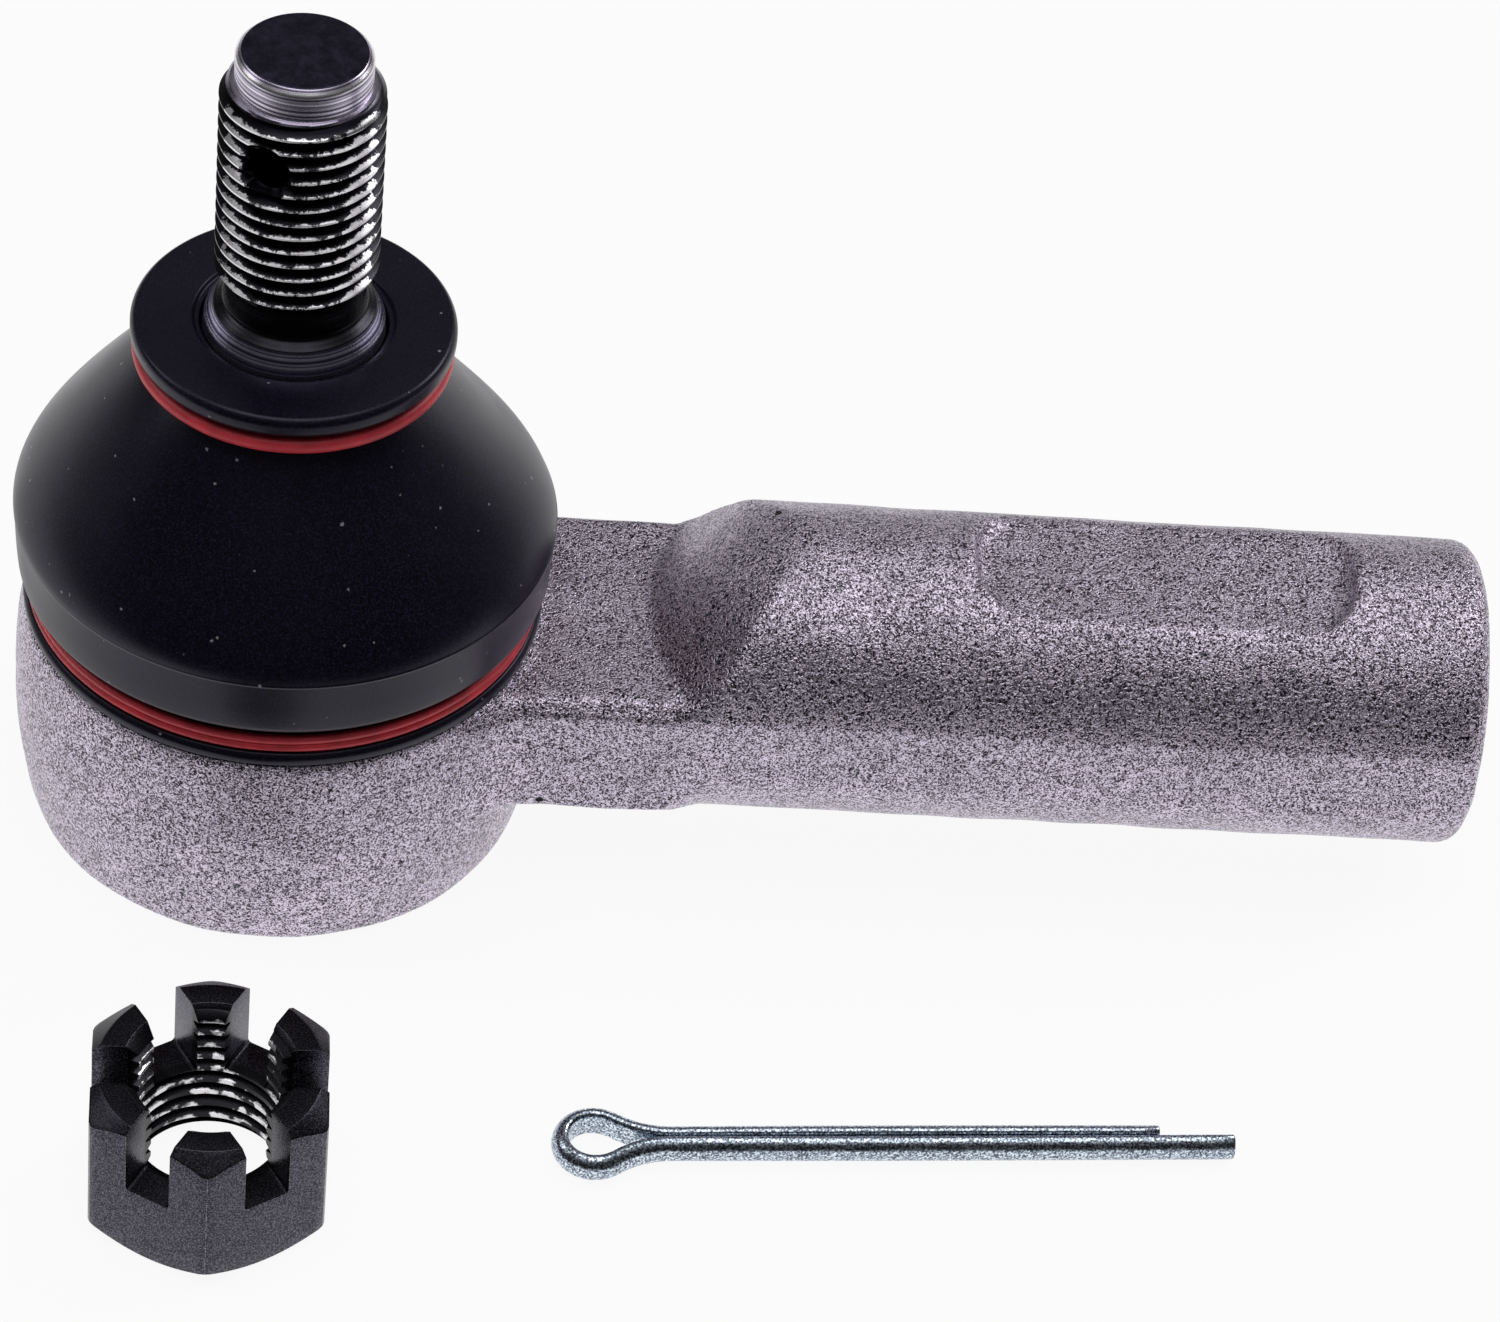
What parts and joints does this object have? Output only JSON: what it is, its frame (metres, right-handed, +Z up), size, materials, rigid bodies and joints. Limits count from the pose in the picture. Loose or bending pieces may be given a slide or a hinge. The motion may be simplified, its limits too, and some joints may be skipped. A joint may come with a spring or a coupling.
{
  "type": "tie rod end",
  "caption": "Outer tie rod end: a preloaded ball stud under a rubber boot in a forged housing with a threaded shank, and its loose castle nut and split pin.",
  "frame": {"origin": "centre of the base face under the ball, on the end plate", "axes": "+X along the shank towards its threaded end, +Y away from the camera's side, +Z up the stud towards its tip"},
  "size_m": [0.1127, 0.0745, 0.07],
  "materials": {
    "forged_steel": "matt, shot-blasted forging",
    "seat_plastic": "smooth moulded acetal",
    "spring_steel": "oiled, stamped",
    "plate_steel": "pressed, zinc plated",
    "black_oxide_steel": "turned, black oxide with bright edges",
    "boot_rubber": "satin moulded rubber",
    "red_ring": "satin red coat on wire",
    "phosphate_steel": "charcoal phosphate, bright threads",
    "zinc_steel": "bright zinc plate with a blue tint"
  },
  "bodies": {
    "housing": {"housing": "forged_steel", "upper_bearing": "seat_plastic", "lower_bearing": "seat_plastic", "preload_spring": "spring_steel", "end_plate": "plate_steel", "lower_ring": "red_ring"},
    "boot": {"dust_boot": "boot_rubber"},
    "collar": {"upper_ring": "red_ring"},
    "stud": {"ball_stud": "black_oxide_steel"},
    "nut": {"castle_nut": "phosphate_steel"},
    "pin": {"cotter_pin": "zinc_steel"}
  },
  "joints": [
    {"name": "boot_turn", "type": "hinge", "parent": "housing", "child": "boot", "pos_m": [0, 0, 0.015], "axis": [0, 0, 1], "continuous": true},
    {"name": "stud_swing", "type": "hinge", "parent": "boot", "child": "collar", "pos_m": [0, 0, 0.015], "axis": [0, 1, 0], "range_deg": [-20, 20], "deforming": ["dust_boot"]},
    {"name": "stud_spin", "type": "hinge", "parent": "collar", "child": "stud", "pos_m": [0, 0, 0.015], "axis": [0, 0, 1], "continuous": true},
    {"name": "nut_lift", "type": "slide", "parent": "housing", "child": "nut", "axis": [0, 0, 1], "range_m": [0, 0.08]},
    {"name": "pin_lift", "type": "slide", "parent": "housing", "child": "pin", "axis": [0, 0, 1], "range_m": [0, 0.08]}
  ]
}
